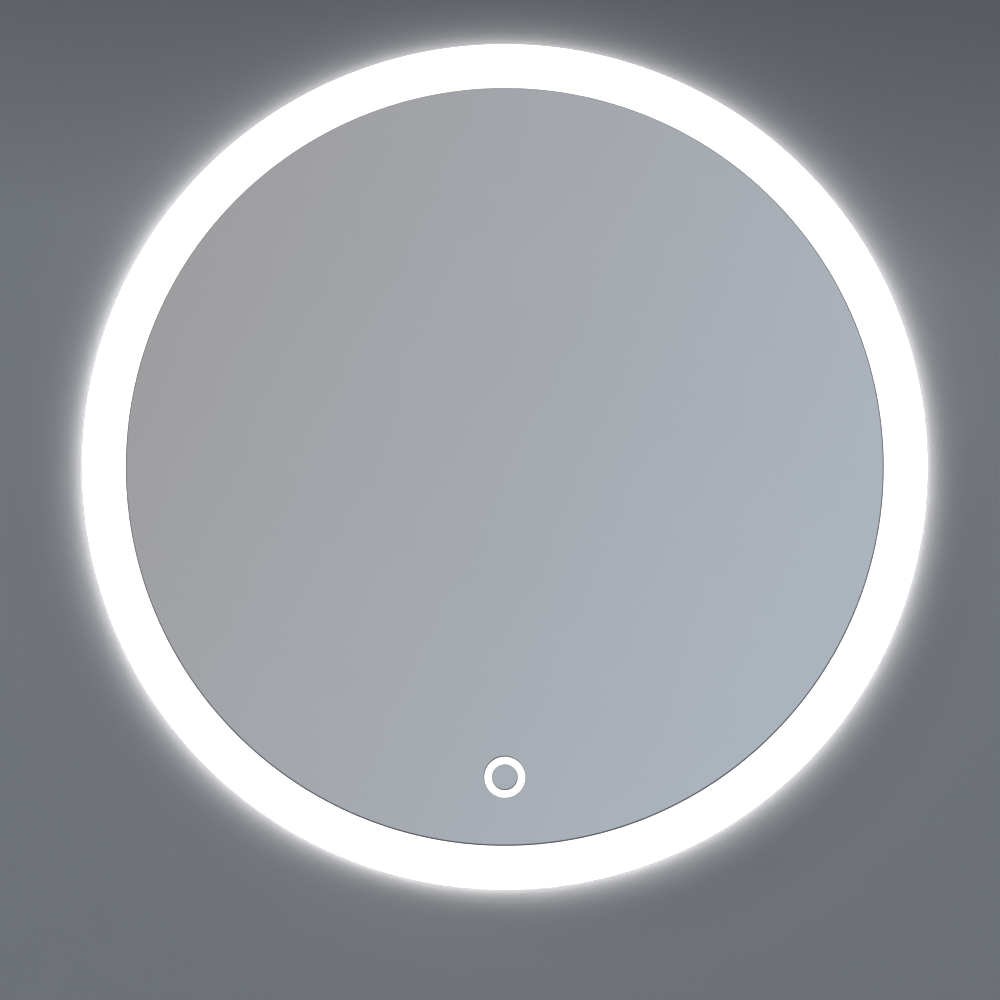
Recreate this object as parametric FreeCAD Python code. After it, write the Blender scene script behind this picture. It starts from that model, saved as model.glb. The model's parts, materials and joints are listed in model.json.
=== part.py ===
import FreeCAD, Part
import math
import os

# A round lighted mirror for a bathroom wall. All sizes are in millimetres.
# X runs to the right, Z up and Y towards the wall, which is the plane Y = 0.
# The pieces are drawn about the mirror's centre. When they are saved they move down,
# so that the origin is the centre of the wall fixings, on the wall.

# Glass and the layers on its back
glass_radius = 300.0
glass_thickness = 5.0
edge_arris = 0.6
coat_thickness = 0.3
lit_band_width = 31.0  # from the rim in to the coat
etch_line = 0.4  # between the coat's edge and the frosting

# Touch icon
icon_outer_radius = 14.4
icon_inner_radius = 9.45
icon_above_rim = 79.6  # from the lowest point of the glass

# Stack behind the coat
tape_thickness = 1.0
panel_thickness = 1.0
wall_gap = 11.0

# Rolled hoop
hoop_sheet = 1.2
channel_width = 38.0  # from the rim of the glass in to the hoop's web
front_lip_width = 22.0
back_lip_width = 16.0
joiner_angle = 11.0
joiner_thickness = 1.5
joiner_width = 16.0
joiner_rivet_radius = 1.6
joiner_rivet_head_radius = 2.7
joiner_rivet_angle = 3.3  # each side of the joint
joiner_rivet_rise = 4.8  # each side of the strip's line

# Opal ring and its seal
opal_thickness = 3.0
opal_setback = 2.0  # from the rim of the glass
opal_strip_gap = 2.0  # from the hoop's web to the opal flange
opal_wall_gap = 2.0  # from the wall to the ring's lit edge
opal_chamfer = 0.8
hoop_rim_gap = 0.4  # from the hoop's back flange to the opal ring
seal_thickness = 1.0
seal_width = 3.4

# Rim band round the opal ring
rim_band_thickness = 0.8
rim_band_gap = 0.1
rim_band_glass_gap = 0.2

# Light strip
strip_width = 10.0
strip_thickness = 0.3
chip_count = 96
chip_length = 3.5
chip_width = 2.8
chip_height = 0.7
lead_grommet_wall = 1.0
lead_grommet_brim = 1.6
lead_grommet_brim_thickness = 1.5

# Back panel
panel_overlap = 13.0  # onto the hoop's back lip
bead_width = 10.0
bead_height = 1.6
bead_slope = 1.6
vent_count = 8
vent_pitch = 9.0
vent_height = 30.0
vent_width = 3.0
vent_start = 122.0  # from the centre to the first slot of each group
vent_centre_z = 22.0
panel_screw_count = 12
panel_screw_angle = 15.0  # of the first one

# Fasteners
screw_shank_radius = 1.45
screw_head_radius = 2.9
screw_head_height = 1.8
screw_slot_length = 4.0
screw_slot_width = 0.8
screw_slot_depth = 0.9
screw_reach = 4.0  # past the last sheet
thread_gap = 0.05
rivet_radius = 1.6
rivet_head_radius = 3.2
rivet_head_height = 1.2
rivet_blind_length = 2.5
rivet_blind_radius = 2.25

# Hanging: bracket on the wall, rail on the mirror
bracket_thickness = 2.0
bracket_plate_height = 30.0
slot_spacing = 200.0
slot_length = 14.0
slot_radius = 2.75
lip_gap = 4.5  # from the wall to the bracket's lip
lip_height = 14.0
joggle_height = 4.0
rail_thickness = 2.0
rail_plate_height = 20.0
rail_drop = 48.0  # from the panel's bead down to the rail's top edge
hook_side_gap = 0.75
hook_end_gap = 1.0
bend_radius = 0.5
rail_end_margin = 28.0  # from the panel's bead
bracket_overhang = 18.0  # past each end of the rail
rivet_pitch = 56.0
rivet_count = 4

# Bumpers
bumper_radius = 10.0
bumper_taper = 1.0
bumper_margin = 14.0  # from the panel's bead
bumper_angle = 47.0  # below the horizontal
stem_radius = 2.5
stem_gap = 0.2
barb_radius = 3.8
barb_tip_radius = 2.0
barb_length = 2.6

# Touch switch
touch_cup_radius = 17.5
touch_cup_wall = 1.5
touch_cup_depth = 12.0
touch_floor = 1.5
touch_board_thickness = 1.6
touch_board_gap = 0.2
touch_ledge = 1.6
guide_thickness = 3.0
guide_gap = 0.3
guide_overlap = 0.8  # past the icon's inner edge
sense_pad_radius = 7.5
sense_pad_thickness = 0.4
sense_stem_radius = 1.5
touch_led_count = 6
touch_led_size = 2.8
touch_led_height = 0.8
touch_rear_room = 4.1  # behind the board
connector_start = 1.5
connector_size = 8.0

# Demister
pad_margin = 28.0  # from the hoop's lip to the pad's corners
pad_thickness = 0.4
pad_corner = 10.0
pad_terminal_width = 30.0
pad_terminal_height = 14.0
pad_terminal_depth = 6.0
pad_terminal_x = -120.0
pad_terminal_corner = 2.0

# Driver
driver_length = 180.0
driver_height = 44.0
driver_depth = 20.0
driver_wall = 1.6
driver_cover_thickness = 2.0
driver_cover_chamfer = 0.8
driver_centre_z = 24.0
driver_ear_length = 11.0
driver_ear_height = 16.0
driver_entry_offset = 13.5  # of the leads, above and below the driver's centre line
board_thickness = 1.6
board_gap = 0.8
board_post_height = 2.8
board_post_radius = 3.0
board_post_margin = 1.0  # from the board's edge
transformer_length = 26.0
transformer_height = 24.0
transformer_depth = 11.5
transformer_x = -12.0
transformer_groove_length = 13.0
transformer_groove_height = 4.8
transformer_groove_depth = 3.5
capacitor_radius = 5.0
capacitor_depth = 12.0
capacitor_pitch = 14.0
capacitor_start = 26.0
capacitor_count = 3
capacitor_rim = 0.6

# Wiring box
box_width = 110.0
box_height = 70.0
box_depth = 26.5  # in front of the panel's back
box_front_room = 2.2  # from the box to the back of the coat
box_wall = 2.0
box_floor = 1.5
box_flange = 9.0
box_flange_thickness = 1.5
box_corner = 4.0
box_centre_z = -95.0
box_cut_gap = 0.4
entry_plate_height = 26.0
entry_plate_thickness = 3.0
gasket_thickness = 1.0
gasket_width = 2.0

# Lid of the wiring box and its hinge
lid_thickness = 2.0
lid_gap = 0.2
lid_rim = 0.5  # past the gasket
lid_tab_height = 5.0
lid_tab_width = 22.0
lid_rib_count = 5
lid_rib_height = 0.8
lid_rib_radius = 1.5
lid_rib_margin = 7.0  # from the lid's lower and upper edges
pin_radius = 1.2
pin_head_radius = 1.9
pin_head_length = 1.0
knuckle_radius = 2.5
knuckle_gap = 0.3
knuckle_length = 16.0
centre_knuckle_length = 34.0
hinge_running_gap = 0.06
hinge_rise = 5.0  # from the box's mouth up to the hinge

# Cable grommet
cable_bore_radius = 4.0
grommet_neck_radius = 6.5
grommet_flange_radius = 9.0
grommet_flange_thickness = 1.5
grommet_x = -32.0
grommet_lip_round = 0.9

# Terminal block and its levers
pole_width = 12.0
pole_count = 3
terminal_depth = 12.0
terminal_height = 24.0
terminal_top_gap = 14.0  # under the box's top wall
notch_width = 9.0
notch_depth = 3.6
lever_width = 8.0
lever_thickness = 2.4
lever_sink = 0.6  # below the block's back face
lever_length = 13.5
lever_eye_radius = 1.5
lever_tip_round = 0.7
lever_axle_radius = 0.8
lever_axle_drop = 3.0  # below the block's top
axle_running_gap = 0.06
wire_pocket = 4.4
wire_pocket_depth = 12.0
contact_thickness = 1.0
contact_inset = 2.0

# Earth point
earth_z = -18.0
stud_radius = 2.0
stud_length = 12.0
nut_across_flats = 7.0
nut_height = 3.2
tag_radius = 4.2
tag_thickness = 0.8
barrel_radius = 2.1
barrel_length = 9.0
barrel_start = 1.0  # over the end of the tag's neck

# Leads
mains_lead_radius = 2.5
low_lead_radius = 1.5
pad_lead_radius = 1.75
lead_hole_gap = 0.4
lead_lift = 0.5  # off the panel, on the clips' bases
mains_loop = 36.0  # beyond the driver's end
mains_rise = 14.0  # straight up from the wiring box
mains_lean = 10.0
mains_turn_inset = 4.4  # from the driver's lower edge up to the last bend
earth_rise = 6.0
earth_last_run = 8.0
pad_first_run = 12.0
pad_last_run = 16.0
led_first_run = 42.0
led_slope_run = 40.8
led_slope_z = 4.0
led_last_run = 30.0
led_end_gap = 0.3  # to the strip, bridged by its solder
touch_first_run = 24.0
touch_first_rise = 40.0
touch_lead_offset = 22.0  # beside the wiring box's flange
touch_bow_near = 26.0  # beyond the driver's end
touch_bow_far = 36.0
touch_bow_start = 42.0  # below the driver's lower entry
touch_bow_middle = 18.0
bend_share = 0.45  # of the shorter run
clip_count = 3
clip_start = 60.0  # above the touch icon, clear of the first bends
clip_width = 8.0
clip_height = 6.0
clip_wall = 1.5
seat_gap = 0.05

# Drawing
past = 1.0  # by which a cutting shape runs past the piece

# Planes, from the wall to the front of the glass
panel_back = -wall_gap
panel_front = panel_back - panel_thickness
coat_back = panel_back - box_depth - box_front_room
hoop_front = coat_back + tape_thickness
glass_back = coat_back - coat_thickness
glass_front = glass_back - glass_thickness

# Radii
coat_radius = glass_radius - lit_band_width
web_outer = glass_radius - channel_width
web_inner = web_outer - hoop_sheet
front_lip_inner = web_outer - front_lip_width
back_lip_inner = web_outer - back_lip_width
opal_outer = glass_radius - opal_setback
opal_inner = opal_outer - opal_thickness
opal_flange_inner = web_outer + opal_strip_gap
opal_flange_back = coat_back + opal_thickness
opal_back = -opal_wall_gap
hoop_rim = opal_inner - hoop_rim_gap
lip_back = panel_front - hoop_sheet
rim_band_inner = opal_outer + rim_band_gap
panel_radius = back_lip_inner + panel_overlap
bead_inner = back_lip_inner - bead_width
panel_screw_circle = (back_lip_inner + panel_radius) / 2
strip_y = (opal_flange_back + lip_back) / 2
strip_outer = web_outer + strip_thickness
lead_hole_radius = low_lead_radius + lead_hole_gap + lead_grommet_wall

# Places
icon_z = icon_above_rim - glass_radius
rail_top = bead_inner - rail_drop
lip_top = rail_top - rail_plate_height
plate_top = lip_top - lip_height - joggle_height
plate_bottom = plate_top - bracket_plate_height
fixing_height = plate_top - bracket_plate_height / 2
rail_length = 2 * (math.sqrt(bead_inner ** 2 - rail_top ** 2) - rail_end_margin)
bracket_length = rail_length + 2 * bracket_overhang
rivet_z = rail_top - rail_plate_height / 2 + rail_thickness / 2
bumper_circle = bead_inner - bumper_margin - bumper_radius
bumper_x = bumper_circle * math.cos(math.radians(bumper_angle))
bumper_z = -bumper_circle * math.sin(math.radians(bumper_angle))

box_top = box_centre_z + box_height / 2
box_bottom = box_centre_z - box_height / 2
box_floor_front = panel_back - box_depth
box_floor_back = box_floor_front + box_floor
flange_back = panel_back + box_flange_thickness
mouth_half_width = box_width / 2 - box_wall
mouth_top = box_top - box_wall
mouth_bottom = box_bottom + entry_plate_height
lid_front = flange_back + gasket_thickness + lid_gap
hinge_y = flange_back + knuckle_radius + knuckle_gap
hinge_z = box_top + hinge_rise
grommet_z = box_bottom + entry_plate_height / 2

block_top = mouth_top - terminal_top_gap
block_bottom = block_top - terminal_height
block_back = box_floor_back + terminal_depth
block_half_width = pole_count * pole_width / 2
lead_row_z = block_bottom + terminal_height / 2
mains_exit_x = pole_width * (1 - pole_count) / 2
earth_x = -mains_exit_x
lead_row_y = box_floor_back + terminal_depth / 2
axle_y = block_back - lever_sink - lever_thickness / 2
axle_z = block_top - lever_axle_drop

driver_back = panel_front
driver_front = driver_back - driver_depth
board_back = driver_back - driver_wall - board_post_height
board_front = board_back - board_thickness
driver_end = driver_length / 2

touch_floor_front = coat_back + touch_cup_depth - touch_floor
touch_board_back = touch_floor_front - touch_rear_room
touch_board_front = touch_board_back - touch_board_thickness
touch_room_radius = touch_cup_radius - touch_cup_wall
touch_lead_y = (touch_board_back + touch_floor_front) / 2
touch_lead_x = box_width / 2 + box_flange + touch_lead_offset
connector_end = connector_start + connector_size

up = FreeCAD.Vector(0, 0, 1)
right = FreeCAD.Vector(1, 0, 0)
to_wall = FreeCAD.Vector(0, 1, 0)
centre = FreeCAD.Vector(0, 0, 0)


def point(x, y, z):
    return FreeCAD.Vector(x, y, z)


def bar_y(radius, start, end, x=0.0, z=0.0):
    return Part.makeCylinder(radius, end - start, point(x, start, z), to_wall)


def bar_x(radius, start, end, y, z):
    return Part.makeCylinder(radius, end - start, point(start, y, z), right)


def bar_z(radius, start, end, x, y):
    return Part.makeCylinder(radius, end - start, point(x, y, start), up)


def ring(inner, outer, start, end, x=0.0, z=0.0):
    return bar_y(outer, start, end, x, z).cut(bar_y(inner, start, end, x, z))


def block(x_low, x_high, y_low, y_high, z_low, z_high):
    size = (x_high - x_low, y_high - y_low, z_high - z_low)
    return Part.makeBox(size[0], size[1], size[2], point(x_low, y_low, z_low))


def plate(width, height, start, end, x, z):
    return block(x - width / 2, x + width / 2, start, end, z - height / 2, z + height / 2)


def long_edges(shape, direction):
    # the straight edges that run along one axis
    found = []
    for edge in shape.Edges:
        along = edge.valueAt(edge.LastParameter) - edge.valueAt(edge.FirstParameter)
        if along.Length > 0 and abs(along.dot(direction)) > 0.999 * along.Length:
            found.append(edge)
    return found


def rounded_plate(width, height, corner, start, end, x, z):
    shape = plate(width, height, start, end, x, z)
    return shape.makeFillet(corner, long_edges(shape, to_wall))


def slot(length, radius, start, end, x, z, direction):
    # a round-ended bar; direction says which way its ends lie
    reach = direction * (length / 2 - radius)
    middle = plate(2 * abs(reach.x) + 2 * radius * abs(direction.z),
                   2 * abs(reach.z) + 2 * radius * abs(direction.x), start, end, x, z)
    first = bar_y(radius, start, end, x + reach.x, z + reach.z)
    second = bar_y(radius, start, end, x - reach.x, z - reach.z)
    return middle.fuse([first, second]).removeSplitter()


def turned(outline, x=0.0, z=0.0, angle=360.0):
    # a closed outline of (radius, y) points, turned about a line along Y
    corners = [point(radius, y, 0) for radius, y in outline]
    face = Part.Face(Part.makePolygon(corners + corners[:1]))
    shape = face.revolve(centre, to_wall, angle)
    shape.translate(point(x, 0, z))
    return shape


def turned_from_x(shape, angle):
    # swings a piece about the mirror's axis, from the X side
    shape.rotate(centre, to_wall, -angle)
    return shape


def around(count, first_angle=0.0):
    step = 360.0 / count
    return [first_angle + step * number for number in range(count)]


def on_circle(radius, angle):
    turn = math.radians(angle)
    return radius * math.cos(turn), radius * math.sin(turn)


def bent_strip(line, thickness, length, inside):
    # sheet bent along a line of (y, z) points and run along X, with rounded bends
    sides = [[], []]
    bends = []
    for number, (y, z) in enumerate(line):
        here = point(0, y, z)
        before = here - point(0, *line[number - 1]) if number else None
        after = point(0, *line[number + 1]) - here if number + 1 < len(line) else None
        ways = [way.normalize() for way in (before, after) if way is not None]
        normals = [right.cross(way) for way in ways]
        mitre = normals[0] if len(normals) == 1 else normals[0] + normals[1]
        mitre = mitre * (thickness / 2 / mitre.dot(normals[0]))
        sides[0].append(here + mitre)
        sides[1].append(here - mitre)
        if len(ways) == 2:
            turn = ways[0].cross(ways[1]).x
            inner, outer = (0, 1) if turn > 0 else (1, 0)
            bends.append((sides[inner][-1], inside))
            bends.append((sides[outer][-1], inside + thickness))
    outline = sides[0] + sides[1][::-1]
    face = Part.Face(Part.makePolygon(outline + outline[:1]))
    shape = face.extrude(right * length)
    shape.translate(right * (-length / 2))
    for corner, radius in bends:
        edge = min(long_edges(shape, right), key=lambda e: away(e, corner))
        shape = shape.makeFillet(radius, [edge])
    return shape


def away(edge, corner):
    start = edge.valueAt(edge.FirstParameter)
    return math.hypot(start.y - corner.y, start.z - corner.z)


def pan_screw(x, z, seat, length):
    # head towards the wall, shank towards the glass
    head = bar_y(screw_head_radius, seat, seat + screw_head_height, x, z)
    rim = [edge for edge in head.Edges if abs(edge.CenterOfMass.y - seat - screw_head_height) < 1e-6]
    head = head.makeFillet(screw_head_height / 2, rim)
    shank = bar_y(screw_shank_radius, seat - length, seat, x, z)
    low = seat + screw_head_height - screw_slot_depth
    across = plate(screw_slot_length, screw_slot_width, low, seat + screw_head_height, x, z)
    upright = plate(screw_slot_width, screw_slot_length, low, seat + screw_head_height, x, z)
    return head.fuse(shank).cut(across).cut(upright)


def lead(name, stops, radius):
    # a tube of straight runs joined by tangent arcs
    stops = [point(*stop) for stop in stops]
    edges = []
    bends = []
    start = stops[0]
    for before, corner, after in zip(stops, stops[1:], stops[2:]):
        back = (before - corner).normalize()
        ahead = (after - corner).normalize()
        half_turn = (math.pi - back.getAngle(ahead)) / 2
        reach = bend_share * min((before - corner).Length, (after - corner).Length)
        bend = reach / math.tan(half_turn)
        inward = (back + ahead).normalize()
        middle = corner + inward * (bend / math.cos(half_turn) - bend)
        arc_start = corner + back * reach
        arc_end = corner + ahead * reach
        edges.append(Part.LineSegment(start, arc_start).toShape())
        edges.append(Part.Arc(arc_start, middle, arc_end).toShape())
        bends.append(bend)
        start = arc_end
    edges.append(Part.LineSegment(start, stops[-1]).toShape())
    path = Part.Wire(edges)
    section = Part.Wire(Part.Circle(stops[0], stops[1] - stops[0], radius).toShape())
    tube = path.makePipeShell([section], True, False)
    share = tube.Volume / (math.pi * radius ** 2 * path.Length)
    radii = ", ".join("%.1f" % bend for bend in bends)
    print("%s: %.0f mm long, bends %s mm" % (name, path.Length, radii))
    print("%s: volume %.4f of section x length" % (name, share))
    return tube


def mirror_glass():
    shape = bar_y(glass_radius, glass_front, glass_back)
    return [shape.makeChamfer(edge_arris, round_edges(shape, glass_radius))]


def round_edges(shape, radius):
    found = []
    for edge in shape.Edges:
        if isinstance(edge.Curve, Part.Circle) and abs(edge.Curve.Radius - radius) < 1e-6:
            found.append(edge)
    return found


def silver_coat():
    sheet = bar_y(coat_radius, glass_back, coat_back)
    window = bar_y(icon_outer_radius, glass_back, coat_back, 0, icon_z)
    island = bar_y(icon_inner_radius, glass_back, coat_back, 0, icon_z)
    return [sheet.cut(window), island]


def frosted_band():
    return [ring(coat_radius + etch_line, glass_radius - edge_arris, glass_back, coat_back)]


def touch_icon():
    return [ring(icon_inner_radius, icon_outer_radius, glass_back, coat_back, 0, icon_z)]


def bond_tape():
    return [ring(front_lip_inner, web_outer, coat_back, hoop_front)]


def diffuser_ring():
    outline = [
        (opal_flange_inner, coat_back),
        (opal_outer, coat_back),
        (opal_outer, opal_back - opal_chamfer),
        (opal_outer - opal_chamfer, opal_back),
        (opal_inner, opal_back),
        (opal_inner, opal_flange_back),
        (opal_flange_inner, opal_flange_back),
    ]
    return [turned(outline)]


def diffuser_seal():
    return [ring(opal_inner - seal_width, opal_inner, lip_back - seal_thickness, lip_back)]


def rim_band():
    front = coat_back + rim_band_glass_gap
    return [ring(rim_band_inner, rim_band_inner + rim_band_thickness, front, panel_front)]


def joiner_rivet_places():
    # angle along the hoop and height, on both sides of the joint
    sides = (-joiner_rivet_angle, joiner_rivet_angle)
    rises = (-joiner_rivet_rise, joiner_rivet_rise)
    return [(angle - 90, strip_y + rise) for angle in sides for rise in rises]


def chassis_hoop():
    outline = [
        (front_lip_inner, hoop_front),
        (web_outer, hoop_front),
        (web_outer, lip_back),
        (hoop_rim, lip_back),
        (hoop_rim, panel_front),
        (back_lip_inner, panel_front),
        (back_lip_inner, lip_back),
        (web_inner, lip_back),
        (web_inner, hoop_front + hoop_sheet),
        (front_lip_inner, hoop_front + hoop_sheet),
    ]
    shape = turned(outline)
    holes = [bar_x(lead_hole_radius, web_inner - past, web_outer + past, strip_y, 0)]
    for angle in around(panel_screw_count, panel_screw_angle):
        x, z = on_circle(panel_screw_circle, angle)
        holes.append(bar_y(screw_shank_radius + thread_gap, lip_back - past, panel_front + past, x, z))
    for angle, y in joiner_rivet_places():
        hole = bar_x(joiner_rivet_radius + thread_gap, web_inner - past, web_outer + past, y, 0)
        holes.append(turned_from_x(hole, angle))
    return [shape.cut(holes)]


def hoop_joiner():
    outer = web_inner - seat_gap
    low = strip_y - joiner_width / 2
    high = strip_y + joiner_width / 2
    inner = outer - joiner_thickness
    outline = [(inner, low), (outer, low), (outer, high), (inner, high)]
    shape = turned(outline, angle=joiner_angle)
    shape = turned_from_x(shape, joiner_angle / 2 - 90)
    holes = []
    for angle, y in joiner_rivet_places():
        hole = bar_x(joiner_rivet_radius + thread_gap, inner - past, web_outer, y, 0)
        holes.append(turned_from_x(hole, angle))
    return [shape.cut(holes)]


def joiner_rivets():
    rivets = []
    seat = web_inner - seat_gap - joiner_thickness - seat_gap
    for angle, y in joiner_rivet_places():
        shank = bar_x(joiner_rivet_radius, seat, web_outer - seat_gap, y, 0)
        head = bar_x(joiner_rivet_head_radius, seat - rivet_head_height, seat, y, 0)
        rivets.append(turned_from_x(head.fuse(shank), angle))
    return rivets


def led_strip():
    low = strip_y - strip_width / 2
    return [ring(web_outer, strip_outer, low, low + strip_width)]


def led_chips():
    chips = []
    for angle in around(chip_count, 180.0 / chip_count):
        low = strip_y - chip_width / 2
        half = chip_length / 2
        chip = block(strip_outer, strip_outer + chip_height, low, low + chip_width, -half, half)
        chips.append(turned_from_x(chip, angle))
    return chips


def lead_grommet():
    bore = low_lead_radius + lead_hole_gap / 2
    neck = lead_hole_radius - seat_gap
    brim_end = web_inner - 2 * seat_gap
    brim_start = brim_end - lead_grommet_brim_thickness
    neck_bar = bar_x(neck, brim_start, web_outer - 2 * seat_gap, strip_y, 0)
    brim = bar_x(neck + lead_grommet_brim, brim_start, brim_end, strip_y, 0)
    return [neck_bar.fuse(brim).cut(bar_x(bore, brim_start - past, web_outer, strip_y, 0))]


def vent_places():
    reach = [vent_start + vent_pitch * number for number in range(vent_count)]
    return [(side * x, vent_centre_z) for side in (-1, 1) for x in reach]


def rivet_places():
    first = -rivet_pitch * (rivet_count - 1) / 2
    return [first + rivet_pitch * number for number in range(rivet_count)]


def back_panel():
    outline = []
    for y, order in ((panel_front, 1), (panel_back, -1)):
        side = [
            (0, y),
            (bead_inner, y),
            (bead_inner + bead_slope, y + bead_height),
            (back_lip_inner - bead_slope, y + bead_height),
            (back_lip_inner, y),
            (panel_radius, y),
        ]
        outline += side[::order]
    shape = turned(outline)
    low = panel_front - past
    high = panel_back + past
    cuts = [rounded_plate(box_width + 2 * box_cut_gap, box_height + 2 * box_cut_gap, box_corner,
                          low, high, 0, box_centre_z)]
    for angle in around(panel_screw_count, panel_screw_angle):
        x, z = on_circle(panel_screw_circle, angle)
        cuts.append(bar_y(screw_shank_radius + thread_gap, low, high, x, z))
    for x in rivet_places():
        cuts.append(bar_y(rivet_radius + thread_gap, low, high, x, rivet_z))
    for side in (-1, 1):
        cuts.append(bar_y(stem_radius + stem_gap, low, high, side * bumper_x, bumper_z))
        cuts.append(bar_y(screw_shank_radius + thread_gap, low, high, side * driver_screw_x(),
                          driver_centre_z))
    for x, z in box_screw_places():
        cuts.append(bar_y(screw_shank_radius + thread_gap, low, high, x, z))
    cuts.append(bar_y(stud_radius + thread_gap, low, high, earth_x, earth_z))
    for x, z in vent_places():
        cuts.append(slot(vent_height, vent_width / 2, low, high, x, z, up))
    return [shape.cut(cuts)]


def panel_screws():
    screws = []
    for angle in around(panel_screw_count, panel_screw_angle):
        x, z = on_circle(panel_screw_circle, angle)
        screws.append(pan_screw(x, z, panel_back, panel_thickness + hoop_sheet + screw_reach))
    return screws


def hanger_rail():
    half = rail_thickness / 2
    shelf = lip_top + half
    flange_y = -lip_gap + hook_side_gap + half
    line = [
        (panel_back + half, rail_top),
        (panel_back + half, shelf),
        (flange_y, shelf),
        (flange_y, lip_top - lip_height + hook_end_gap),
    ]
    shape = bent_strip(line, rail_thickness, rail_length, bend_radius)
    holes = [bar_y(rivet_radius + thread_gap, panel_back - past,
                   panel_back + rail_thickness + past, x, rivet_z)
             for x in rivet_places()]
    return [shape.cut(holes)]


def hanger_rivets():
    rivets = []
    seat = panel_back + rail_thickness
    for x in rivet_places():
        head = bar_y(rivet_head_radius, seat, seat + rivet_head_height, x, rivet_z)
        shank = bar_y(rivet_radius, panel_front, seat, x, rivet_z)
        blind = bar_y(rivet_blind_radius, panel_front - rivet_blind_length, panel_front, x, rivet_z)
        rivets.append(head.fuse([shank, blind]))
    return rivets


def wall_bracket():
    half = bracket_thickness / 2
    lip_y = -lip_gap - half
    line = [
        (-half, plate_bottom),
        (-half, plate_top),
        (lip_y, plate_top + joggle_height),
        (lip_y, lip_top),
    ]
    shape = bent_strip(line, bracket_thickness, bracket_length, bend_radius)
    cuts = [slot(slot_length, slot_radius, -bracket_thickness - past, past,
                 side * slot_spacing / 2, fixing_height, right) for side in (-1, 1)]
    return [shape.cut(cuts)]


def bumper_feet():
    feet = []
    for side in (-1, 1):
        outline = [
            (0, panel_front - barb_length),
            (barb_tip_radius, panel_front - barb_length),
            (barb_radius, panel_front),
            (stem_radius, panel_front),
            (stem_radius, panel_back),
            (bumper_radius, panel_back),
            (bumper_radius - bumper_taper, 0),
            (0, 0),
        ]
        feet.append(turned(outline, side * bumper_x, bumper_z))
    return feet


def touch_case():
    rear = touch_floor_front + touch_floor
    outline = [
        (touch_room_radius, coat_back),
        (touch_cup_radius, coat_back),
        (touch_cup_radius, rear),
        (0, rear),
        (0, touch_floor_front),
        (touch_room_radius - touch_ledge, touch_floor_front),
        (touch_room_radius - touch_ledge, touch_board_back),
        (touch_room_radius, touch_board_back),
    ]
    exit_hole = bar_x(low_lead_radius + lead_hole_gap, 0, touch_cup_radius + past, touch_lead_y, icon_z)
    return [turned(outline, 0, icon_z).cut(exit_hole)]


def touch_board():
    radius = touch_room_radius - touch_board_gap
    return [bar_y(radius, touch_board_front, touch_board_back, 0, icon_z)]


def touch_leds():
    lights = []
    circle = (icon_inner_radius + icon_outer_radius) / 2
    front = touch_board_front - touch_led_height
    for angle in around(touch_led_count):
        x, z = on_circle(circle, angle)
        lights.append(plate(touch_led_size, touch_led_size, front, touch_board_front, x, icon_z + z))
    return lights


def touch_light_guide():
    inner = icon_inner_radius - guide_overlap
    outer = touch_room_radius - guide_gap
    return [ring(inner, outer, coat_back, coat_back + guide_thickness, 0, icon_z)]


def touch_sense_pad():
    foil = bar_y(sense_pad_radius, coat_back, coat_back + sense_pad_thickness, 0, icon_z)
    stem = bar_y(sense_stem_radius, coat_back, touch_board_front, 0, icon_z)
    return [foil.fuse(stem)]


def touch_connector():
    half = connector_size / 2
    return [block(connector_start, connector_end, touch_board_back, touch_floor_front - seat_gap,
                  icon_z - half, icon_z + half)]


def demister_pad():
    side = (front_lip_inner - pad_margin) * math.sqrt(2)
    return [rounded_plate(side, side, pad_corner, coat_back, coat_back + pad_thickness, 0, 0)]


def demister_terminal():
    front = coat_back + pad_thickness
    shape = rounded_plate(pad_terminal_width, pad_terminal_height, pad_terminal_corner,
                          front, front + pad_terminal_depth, pad_terminal_x, lead_row_z)
    return [shape]


def driver_screw_x():
    return driver_end + driver_ear_length / 2


def driver_case():
    cover_seat = driver_front + driver_cover_thickness
    outer = block(-driver_end, driver_end, cover_seat, driver_back,
                  driver_centre_z - driver_height / 2, driver_centre_z + driver_height / 2)
    room = block(-driver_end + driver_wall, driver_end - driver_wall, cover_seat, driver_back - driver_wall,
                 driver_centre_z - driver_height / 2 + driver_wall,
                 driver_centre_z + driver_height / 2 - driver_wall)
    ears = plate(driver_length + 2 * driver_ear_length, driver_ear_height,
                 driver_back - driver_wall, driver_back, 0, driver_centre_z)
    shape = outer.cut(room).fuse(ears)
    posts = [bar_y(board_post_radius, board_back, driver_back - driver_wall, x, z) for x, z in board_posts()]
    shape = shape.fuse(posts)
    holes = [bar_y(screw_shank_radius + thread_gap, driver_back - driver_wall - past, driver_back + past,
                   side * driver_screw_x(), driver_centre_z) for side in (-1, 1)]
    return [shape.cut(holes)]


def board_posts():
    inset = driver_wall + board_gap + board_post_margin + board_post_radius
    x = driver_end - inset
    z = driver_height / 2 - inset
    return [(side * x, driver_centre_z + rise * z) for side in (-1, 1) for rise in (-1, 1)]


def driver_cover():
    shape = plate(driver_length, driver_height, driver_front, driver_front + driver_cover_thickness,
                  0, driver_centre_z)
    front_edges = [edge for edge in shape.Edges if abs(edge.CenterOfMass.y - driver_front) < 1e-6]
    return [shape.makeChamfer(driver_cover_chamfer, front_edges)]


def driver_board():
    inset = 2 * (driver_wall + board_gap)
    return [plate(driver_length - inset, driver_height - inset, board_front, board_back, 0, driver_centre_z)]


def driver_transformer():
    front = board_front - transformer_depth
    core = plate(transformer_length, transformer_height, front, board_front, transformer_x, driver_centre_z)
    groove = plate(transformer_groove_length, transformer_groove_height,
                   front, front + transformer_groove_depth, transformer_x, driver_centre_z)
    return [core.cut(groove)]


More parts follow.
